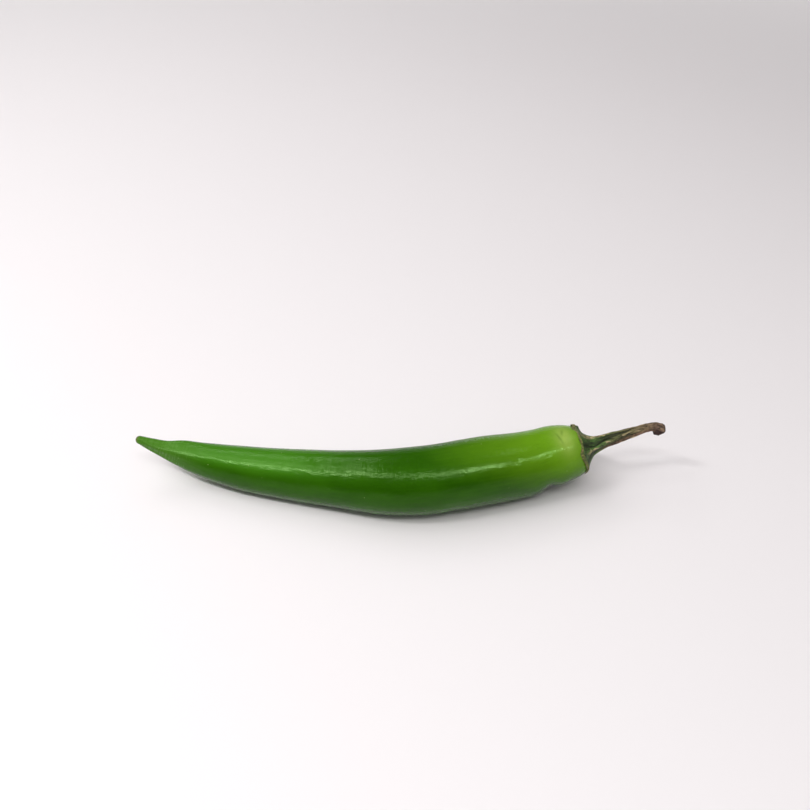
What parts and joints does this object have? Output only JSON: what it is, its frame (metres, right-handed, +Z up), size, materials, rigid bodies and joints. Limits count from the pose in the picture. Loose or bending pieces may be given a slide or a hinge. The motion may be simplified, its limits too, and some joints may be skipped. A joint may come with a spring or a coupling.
{
  "type": "green chilli pepper",
  "caption": "Long curved green chilli pepper with a glossy tapering pod, a lobed calyx and a hooked woody stalk, lying on its side.",
  "frame": {"origin": "on the surface that the pepper lies on, under the middle of its bounding box", "axes": "+Z up, +X along the pepper from its tip to its stalk"},
  "size_m": [0.1512, 0.027, 0.0198],
  "materials": {
    "pod_skin": "gloss",
    "stalk": "matte"
  },
  "bodies": {
    "root": {"pod": "pod_skin", "stalk_with_calyx": "stalk"}
  },
  "joints": []
}
